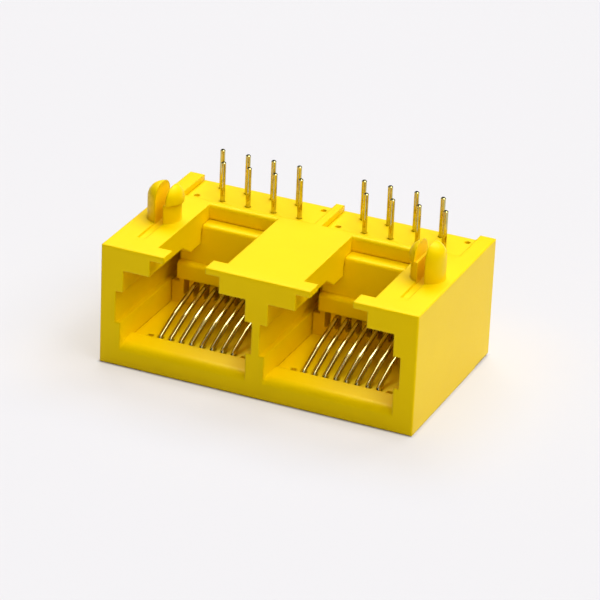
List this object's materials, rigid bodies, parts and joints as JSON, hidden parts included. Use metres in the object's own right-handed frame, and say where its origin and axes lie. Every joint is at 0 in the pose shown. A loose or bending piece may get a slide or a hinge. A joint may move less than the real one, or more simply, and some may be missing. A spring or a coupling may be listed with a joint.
{
  "type": "dual-port modular jack",
  "caption": "Yellow board-mount modular jack with side-by-side plug ports, latch windows, sprung wire contacts on moulded carriers, split snap pegs and solder pins, lying on its cover.",
  "frame": {"origin": "middle of the part's box on the surface that it lies on", "axes": "+X along the two ports, +Y from the port face to the rear, +Z from the cover up to the board side"},
  "size_m": [0.0302, 0.018, 0.0149],
  "materials": {
    "housing_plastic": "yellow moulded plastic, satin",
    "carrier_plastic": "yellow moulded plastic, satin, a shade deeper",
    "contact_gold": "bright gold plating on round wire"
  },
  "bodies": {
    "root": {"housing": "housing_plastic", "carrier_left": "carrier_plastic", "carrier_right": "carrier_plastic", "contact_left_1": "contact_gold", "contact_left_2": "contact_gold", "contact_left_3": "contact_gold", "contact_left_4": "contact_gold", "contact_left_5": "contact_gold", "contact_left_6": "contact_gold", "contact_left_7": "contact_gold", "contact_left_8": "contact_gold", "contact_right_1": "contact_gold", "contact_right_2": "contact_gold", "contact_right_3": "contact_gold", "contact_right_4": "contact_gold", "contact_right_5": "contact_gold", "contact_right_6": "contact_gold", "contact_right_7": "contact_gold", "contact_right_8": "contact_gold"}
  },
  "joints": []
}
